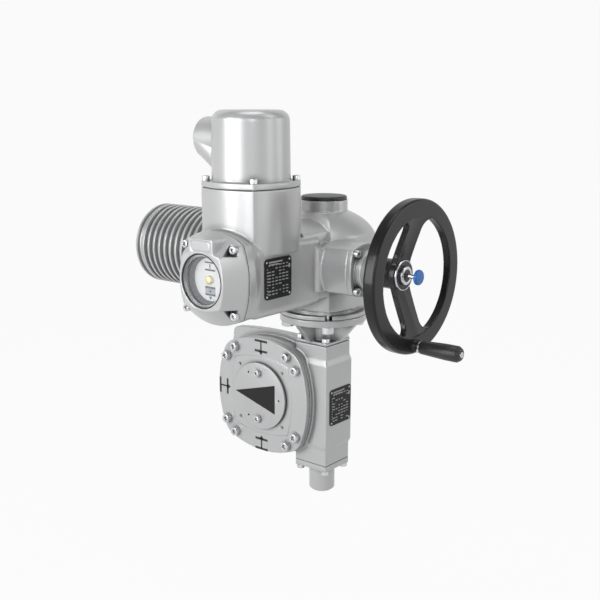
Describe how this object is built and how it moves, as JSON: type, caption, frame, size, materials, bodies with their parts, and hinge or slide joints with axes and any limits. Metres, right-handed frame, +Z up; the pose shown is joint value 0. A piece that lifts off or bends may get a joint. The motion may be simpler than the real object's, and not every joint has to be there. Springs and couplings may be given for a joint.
{
  "type": "multi-turn actuator",
  "caption": "Electric multi-turn actuator with handwheel and position window, bolted on a part-turn worm gearbox with a pointer disc.",
  "frame": {"origin": "centre of the gearbox's valve flange, on its mounting face", "axes": "+Y into the valve, +X to the handwheel, +Z up along the worm shaft"},
  "size_m": [0.5434, 0.306, 0.5583],
  "materials": {
    "casting_paint": "silver-grey powder coat, semi-gloss",
    "black_film": "satin black film",
    "gear_bronze": "machined bronze",
    "machined_steel": "machined",
    "core_steel": "laminated core with windings",
    "clear_glass": "clear",
    "white_plastic": "matt",
    "hub_brass": "turned brass",
    "dark_plastic": "fine-grained black plastic",
    "black_paint": "black paint, semi-gloss",
    "bright_chrome": "bright",
    "blue_plastic": "gloss",
    "bolt_steel": "stainless"
  },
  "bodies": {
    "unit": {"gear_housing": "casting_paint", "output_flange": "casting_paint", "input_adapter": "casting_paint", "gearbox_housing": "casting_paint", "gearbox_cover": "casting_paint", "worm_end_cover": "casting_paint", "motor_housing": "casting_paint", "motor_end_cover": "casting_paint", "control_cover": "casting_paint", "terminal_cover": "casting_paint", "handwheel_flange": "casting_paint", "wheel_bush_rear": "gear_bronze", "wheel_bush_front": "gear_bronze", "worm_bearing_upper": "machined_steel", "worm_bearing_lower": "machined_steel", "hollow_shaft_bearing": "machined_steel", "motor_stator": "core_steel", "drive_bearing_right": "machined_steel", "drive_bearing_left": "machined_steel", "sight_glass": "clear_glass", "glass_ring": "machined_steel", "control_unit": "dark_plastic", "entry_plug": "dark_plastic", "terminal_board": "dark_plastic", "stem_cap": "dark_plastic", "rating_plate": "black_film", "gearbox_plate": "black_film", "control_cover_screws": "bolt_steel", "terminal_cover_screws": "bolt_steel", "bearing_screws": "bolt_steel", "gearbox_cover_screws": "bolt_steel", "adapter_bolts": "bolt_steel", "adapter_foot_screws": "bolt_steel", "end_cover_screws": "bolt_steel", "cover_pins": "hub_brass", "motor_cover_screws": "bolt_steel"},
    "drive": {"hollow_shaft": "machined_steel", "drive_worm_wheel": "gear_bronze", "gearbox_worm": "machined_steel"},
    "valve_drive": {"worm_wheel": "gear_bronze", "valve_coupling": "machined_steel", "pointer_disc": "casting_paint", "pointer_mark": "black_film", "pointer_screws": "bolt_steel"},
    "motor": {"drive_worm": "machined_steel", "motor_rotor": "core_steel"},
    "dial": {"indicator_dial": "white_plastic", "indicator_hub": "hub_brass", "dial_shaft": "machined_steel"},
    "hand": {"handwheel": "black_paint", "hub_ring": "bright_chrome", "hub_washer": "dark_plastic", "hub_nut": "bright_chrome", "handwheel_shaft": "machined_steel", "grip_pin": "bright_chrome"},
    "grip": {"crank_grip": "dark_plastic"},
    "button": {"push_button": "blue_plastic", "button_rod": "bright_chrome"}
  },
  "joints": [
    {"name": "drive_turn", "type": "hinge", "parent": "unit", "child": "drive", "pos_m": [0.08, -0.048, 0.2], "axis": [0, 0, 1], "range_deg": [0, 4770]},
    {"name": "valve_turn", "type": "hinge", "parent": "unit", "child": "valve_drive", "pos_m": [0, -0.048, 0], "axis": [0, 1, 0], "range_deg": [0, 90]},
    {"name": "motor_turn", "type": "hinge", "parent": "unit", "child": "motor", "pos_m": [0.08, -0.088, 0.21], "axis": [1, 0, 0], "range_deg": [-38160, 0]},
    {"name": "dial_turn", "type": "hinge", "parent": "unit", "child": "dial", "pos_m": [0.078, -0.263, 0.212], "axis": [0, 1, 0], "range_deg": [0, 180]},
    {"name": "handwheel_turn", "type": "hinge", "parent": "unit", "child": "hand", "pos_m": [0.25, -0.088, 0.21], "axis": [1, 0, 0], "continuous": true},
    {"name": "grip_spin", "type": "hinge", "parent": "hand", "child": "grip", "pos_m": [0.3, -0.0832, 0.1181], "axis": [1, 0, 0], "continuous": true},
    {"name": "button_press", "type": "slide", "parent": "hand", "child": "button", "axis": [-1, 0, 0], "range_m": [0, 0.005], "stiffness_N_per_m": 300, "springref_m": -0.005}
  ],
  "couplings": [
    {"joint": "valve_turn", "follows": "drive_turn", "ratio": 0.018868},
    {"joint": "motor_turn", "follows": "drive_turn", "ratio": -8},
    {"joint": "dial_turn", "follows": "drive_turn", "ratio": 0.037736}
  ]
}
